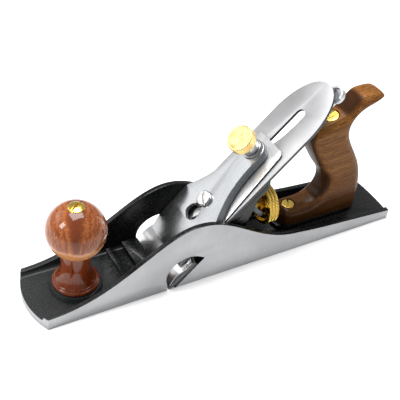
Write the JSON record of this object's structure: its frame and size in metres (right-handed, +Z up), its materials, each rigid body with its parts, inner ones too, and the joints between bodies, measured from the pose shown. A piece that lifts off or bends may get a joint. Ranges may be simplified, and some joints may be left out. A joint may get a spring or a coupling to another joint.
{
  "type": "bench rabbet plane",
  "caption": "Metal bench rabbet plane with arched open cheeks, full-width iron, sliding frog, screw-down lever cap, ball front knob and wooden rear tote.",
  "frame": {"origin": "middle of the sole, on the surface that the plane stands on", "axes": "+X towards the toe, +Y towards the left side, +Z up"},
  "size_m": [0.33, 0.0572, 0.1416],
  "materials": {
    "body_iron": "ground grey sides and sole, black japanned inside",
    "knob_wood": "glossy varnished red-brown hardwood",
    "tote_wood": "satin oiled brown hardwood",
    "frog_iron": "dark satin paint with machined face",
    "blade_steel": "ground tool steel, fine lengthwise scratches",
    "breaker_steel": "polished steel",
    "cap_nickel": "satin nickel plate",
    "lever_steel": "pressed steel",
    "yoke_iron": "plain casting",
    "brass": "turned bright brass, knurled on its rims",
    "screw_steel": "turned bright steel"
  },
  "bodies": {
    "body": {"body": "body_iron", "front_knob": "knob_wood", "knob_stud": "screw_steel", "knob_nut": "brass", "tote": "tote_wood", "tote_rod": "screw_steel", "tote_nut": "brass", "tote_screw": "brass", "frog_screws": "screw_steel", "frog_washers": "screw_steel"},
    "frog": {"frog": "frog_iron", "frog_clip": "screw_steel", "frog_clip_screw": "screw_steel", "yoke_pin": "screw_steel", "lateral_pivot": "screw_steel", "lever_cap_screw": "screw_steel"},
    "frog_adjuster": {"frog_adjusting_screw": "screw_steel"},
    "depth_stud": {"depth_stud": "screw_steel"},
    "depth_wheel": {"depth_wheel": "brass"},
    "yoke": {"yoke": "yoke_iron"},
    "blade_carrier": {"chipbreaker_screw": "screw_steel"},
    "blade_set": {"iron": "blade_steel", "chipbreaker": "breaker_steel"},
    "lateral_lever": {"lateral_lever": "lever_steel"},
    "lateral_roller": {"lateral_roller": "screw_steel"},
    "lever_cap": {"lever_cap": "cap_nickel"},
    "thumbscrew_shank": {"thumbscrew_shank": "screw_steel"},
    "thumbscrew_head": {"thumbscrew_head": "brass"}
  },
  "joints": [
    {"name": "frog_travel", "type": "slide", "parent": "body", "child": "frog", "axis": [1, 0, 0], "range_m": [-0.001, 0.001]},
    {"name": "frog_screw_turn", "type": "hinge", "parent": "frog", "child": "frog_adjuster", "pos_m": [-0.02, 0, 0.011], "axis": [1, 0, 0], "range_deg": [-361, 361]},
    {"name": "depth_turn", "type": "hinge", "parent": "frog", "child": "depth_stud", "pos_m": [-0.03, 0, 0.035], "axis": [1, 0, 0], "range_deg": [-270, 540]},
    {"name": "depth_wheel_travel", "type": "slide", "parent": "depth_stud", "child": "depth_wheel", "axis": [1, 0, 0], "range_m": [-0.001, 0.00195]},
    {"name": "yoke_tilt", "type": "hinge", "parent": "frog", "child": "yoke", "pos_m": [-0.0148, 0, 0.05233], "axis": [0, -1, 0], "range_deg": [-3.3, 6.5]},
    {"name": "blade_depth", "type": "slide", "parent": "frog", "child": "blade_carrier", "axis": [-0.7071, 0, 0.7071], "range_m": [-0.00085, 0.0017]},
    {"name": "blade_tilt", "type": "hinge", "parent": "blade_carrier", "child": "blade_set", "pos_m": [0.02268, 0, 0.03606], "axis": [-0.7071, 0, -0.7071], "range_deg": [-0.2, 0.9]},
    {"name": "lateral_swing", "type": "hinge", "parent": "frog", "child": "lateral_lever", "pos_m": [-0.0254, 0, 0.07849], "axis": [-0.7071, 0, -0.7071], "range_deg": [-10, 1.5]},
    {"name": "roller_spin", "type": "hinge", "parent": "lateral_lever", "child": "lateral_roller", "pos_m": [-0.01624, -0.00092, 0.07215], "axis": [0.7071, 0, 0.7071], "continuous": true},
    {"name": "cap_release", "type": "slide", "parent": "frog", "child": "lever_cap", "axis": [-0.7071, 0, 0.7071], "range_m": [0, 0.014]},
    {"name": "thumbscrew_travel", "type": "slide", "parent": "lever_cap", "child": "thumbscrew_shank", "axis": [0.7071, 0, 0.7071], "range_m": [0, 0.0025]},
    {"name": "thumbscrew_turn", "type": "hinge", "parent": "thumbscrew_shank", "child": "thumbscrew_head", "pos_m": [-0.01091, 0, 0.10501], "axis": [0.7071, 0, 0.7071], "range_deg": [0, 721]}
  ],
  "couplings": [
    {"joint": "frog_screw_turn", "follows": "frog_travel", "rad_per_m": 6283.2},
    {"joint": "depth_turn", "follows": "blade_depth", "rad_per_m": 5521.9},
    {"joint": "depth_wheel_travel", "follows": "blade_depth", "ratio": 1.1161},
    {"joint": "yoke_tilt", "follows": "blade_depth", "rad_per_m": 64.516},
    {"joint": "blade_tilt", "follows": "lateral_swing", "ratio": -0.08},
    {"joint": "thumbscrew_turn", "follows": "thumbscrew_travel", "rad_per_m": 5026.6}
  ]
}
